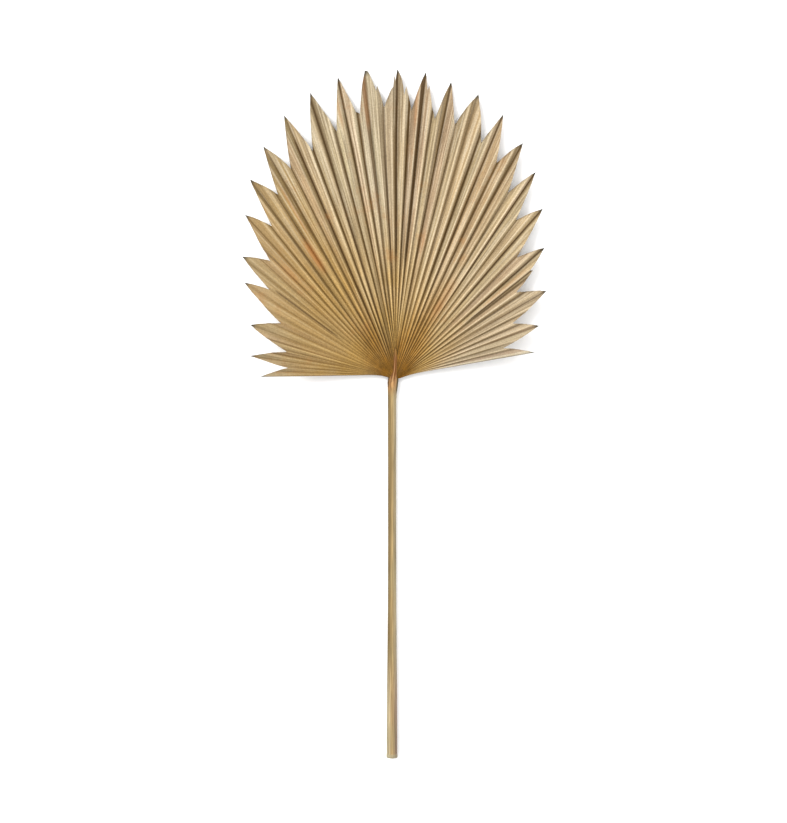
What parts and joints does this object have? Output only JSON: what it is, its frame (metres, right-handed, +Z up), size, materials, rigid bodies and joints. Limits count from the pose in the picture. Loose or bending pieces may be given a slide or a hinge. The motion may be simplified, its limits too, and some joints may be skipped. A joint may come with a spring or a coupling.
{
  "type": "dried fan palm leaf",
  "caption": "Dried fan palm leaf lying on its back: a pleated fan blade with a scissor-cut, toothed rim on a long straight stalk.",
  "frame": {"origin": "middle of the footprint that the lying leaf covers, on the surface that it lies on", "axes": "+Z up, +Y from the stalk's cut end towards the top of the blade, +X to the right of the blade seen from above"},
  "size_m": [0.3954, 0.903, 0.0374],
  "materials": {
    "blade_straw": "dry matt leaf, straw brown, paler towards the rim",
    "stalk_straw": "smooth dry stalk with a low sheen, straw brown"
  },
  "bodies": {
    "root": {"leaf_blade": "blade_straw", "leaf_stalk": "stalk_straw"}
  },
  "joints": []
}
